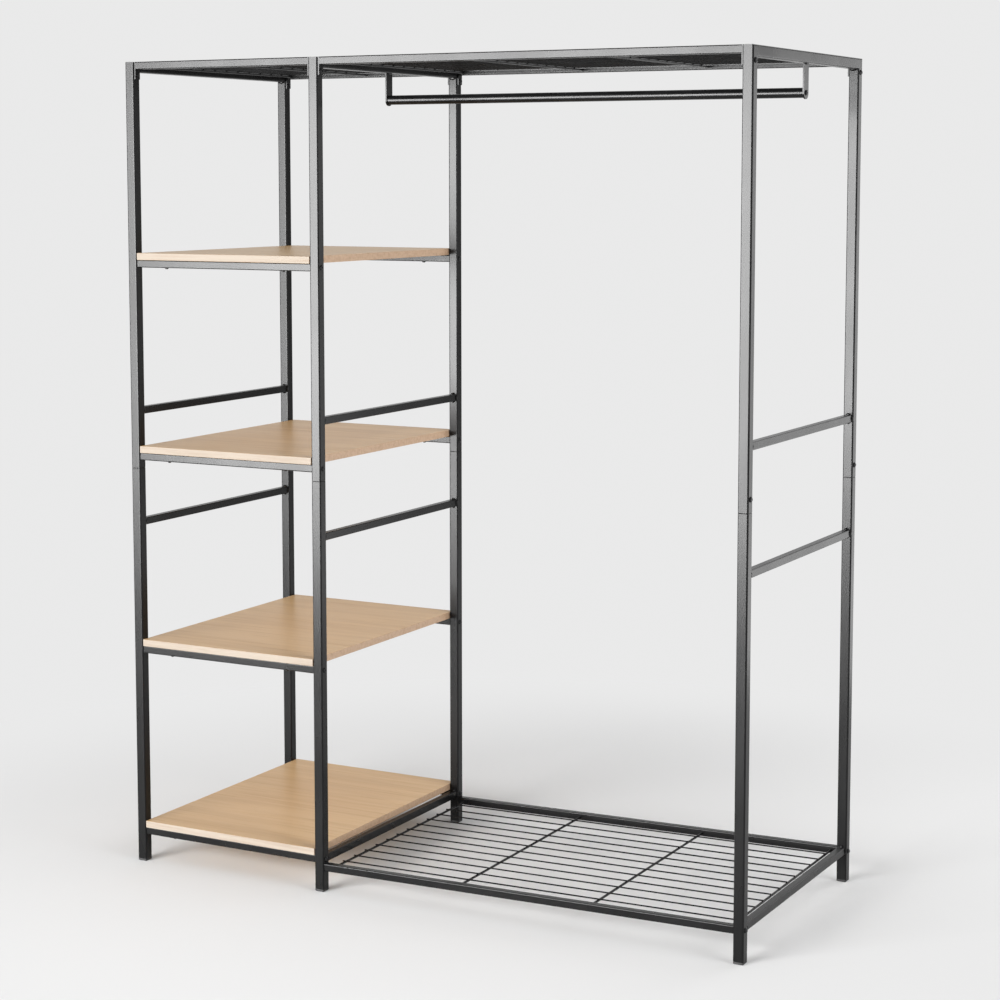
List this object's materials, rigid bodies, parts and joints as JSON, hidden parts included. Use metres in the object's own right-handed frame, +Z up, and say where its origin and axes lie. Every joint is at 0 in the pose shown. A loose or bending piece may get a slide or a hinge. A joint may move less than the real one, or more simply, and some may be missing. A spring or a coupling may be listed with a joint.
{
  "type": "open frame wardrobe",
  "caption": "Freestanding open wardrobe of black square tube: a narrow bay with wooden boards beside a wide bay with a hanging rod, wire shelves on top and at the foot.",
  "frame": {"origin": "on the floor, under the middle of the frame's width and depth", "axes": "+Z up, +X towards the wide hanging bay, -Y towards the front"},
  "size_m": [1.444, 0.606, 1.75],
  "materials": {
    "frame_paint": "semi-gloss black powder coat",
    "wire_paint": "semi-gloss black powder coat",
    "board": "light oak laminate, grain along the width",
    "foot": "matte black plastic",
    "fastener": "black oxide",
    "inner_steel": "bare zinc-plated steel"
  },
  "bodies": {
    "root": {"base_shelf_back_rail": "frame_paint", "base_shelf_front_rail": "frame_paint", "base_shelf_wires": "wire_paint", "board_screws": "fastener", "bottom_board": "board", "bottom_board_back_rail": "frame_paint", "bottom_board_front_rail": "frame_paint", "frame_bolts": "fastener", "hanging_rod": "frame_paint", "left_back_foot": "foot", "left_back_lower_post": "frame_paint", "left_back_upper_post": "frame_paint", "left_base_rail": "frame_paint", "left_front_foot": "foot", "left_front_lower_post": "frame_paint", "left_front_upper_post": "frame_paint", "left_lower_rung": "frame_paint", "left_top_rail": "frame_paint", "left_top_shelf_back_rail": "frame_paint", "left_top_shelf_front_rail": "frame_paint", "left_top_shelf_wires": "wire_paint", "left_upper_rung": "frame_paint", "lower_board": "board", "lower_board_back_rail": "frame_paint", "lower_board_front_rail": "frame_paint", "mid_back_foot": "foot", "mid_back_lower_post": "frame_paint", "mid_back_upper_post": "frame_paint", "mid_base_rail": "frame_paint", "mid_front_foot": "foot", "mid_front_lower_post": "frame_paint", "mid_front_upper_post": "frame_paint", "mid_lower_rung": "frame_paint", "mid_rod_bracket": "frame_paint", "mid_top_rail": "frame_paint", "mid_upper_rung": "frame_paint", "post_spigots": "inner_steel", "rail_end_plugs": "inner_steel", "rail_tabs": "frame_paint", "right_back_foot": "foot", "right_back_lower_post": "frame_paint", "right_back_upper_post": "frame_paint", "right_base_rail": "frame_paint", "right_front_foot": "foot", "right_front_lower_post": "frame_paint", "right_front_upper_post": "frame_paint", "right_lower_rung": "frame_paint", "right_rod_bracket": "frame_paint", "right_top_rail": "frame_paint", "right_top_shelf_back_rail": "frame_paint", "right_top_shelf_front_rail": "frame_paint", "right_top_shelf_wires": "wire_paint", "right_upper_rung": "frame_paint", "rod_end_plugs": "inner_steel", "top_board": "board", "top_board_back_rail": "frame_paint", "top_board_front_rail": "frame_paint", "upper_board": "board", "upper_board_back_rail": "frame_paint", "upper_board_front_rail": "frame_paint"}
  },
  "joints": []
}
